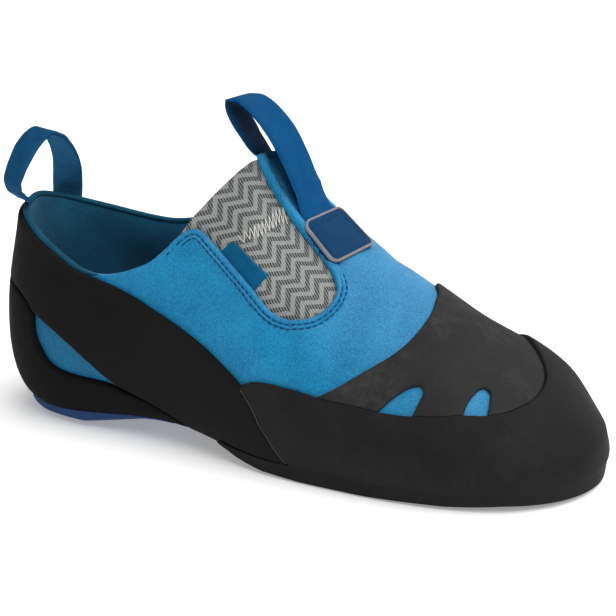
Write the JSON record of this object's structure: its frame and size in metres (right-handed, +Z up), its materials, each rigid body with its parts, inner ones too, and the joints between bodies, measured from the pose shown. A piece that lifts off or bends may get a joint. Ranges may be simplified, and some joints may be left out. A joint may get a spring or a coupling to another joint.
{
  "type": "climbing shoe",
  "caption": "Slip-on rock climbing shoe for the right foot: hollow blue upper with a stretch gore, black rubber rand, heel sling and sole, and webbing pull loops.",
  "frame": {"origin": "middle of the bounding box on the floor plane under the sole", "axes": "+X runs from heel to toe, +Y to the big toe side, +Z up from the sole"},
  "size_m": [0.2635, 0.1041, 0.1393],
  "materials": {
    "upper_microfibre": "suede-like blue microfibre",
    "gore_elastic": "grey herringbone elastic",
    "rand_rubber": "matte black rubber",
    "patch_rubber": "thin matte charcoal rubber",
    "sling_rubber": "matte black rubber",
    "cup_rubber": "matte black rubber",
    "sole_rubber": "matte black rubber, smooth tread",
    "heel_rubber": "matte navy black rubber",
    "insole_board": "dull blue lining cloth",
    "strap_webbing": "blue ribbed webbing",
    "loop_webbing": "dark blue webbing",
    "badge_rubber": "soft moulded rubber"
  },
  "bodies": {
    "root": {"upper": "upper_microfibre", "stretch_gore": "gore_elastic", "toe_rand": "rand_rubber", "toe_patch": "patch_rubber", "heel_sling": "sling_rubber", "heel_cup": "cup_rubber", "outsole": "sole_rubber", "heel_sole": "heel_rubber", "insole": "insole_board", "instep_loop": "strap_webbing", "heel_loop": "loop_webbing", "badge": "badge_rubber"}
  },
  "joints": []
}
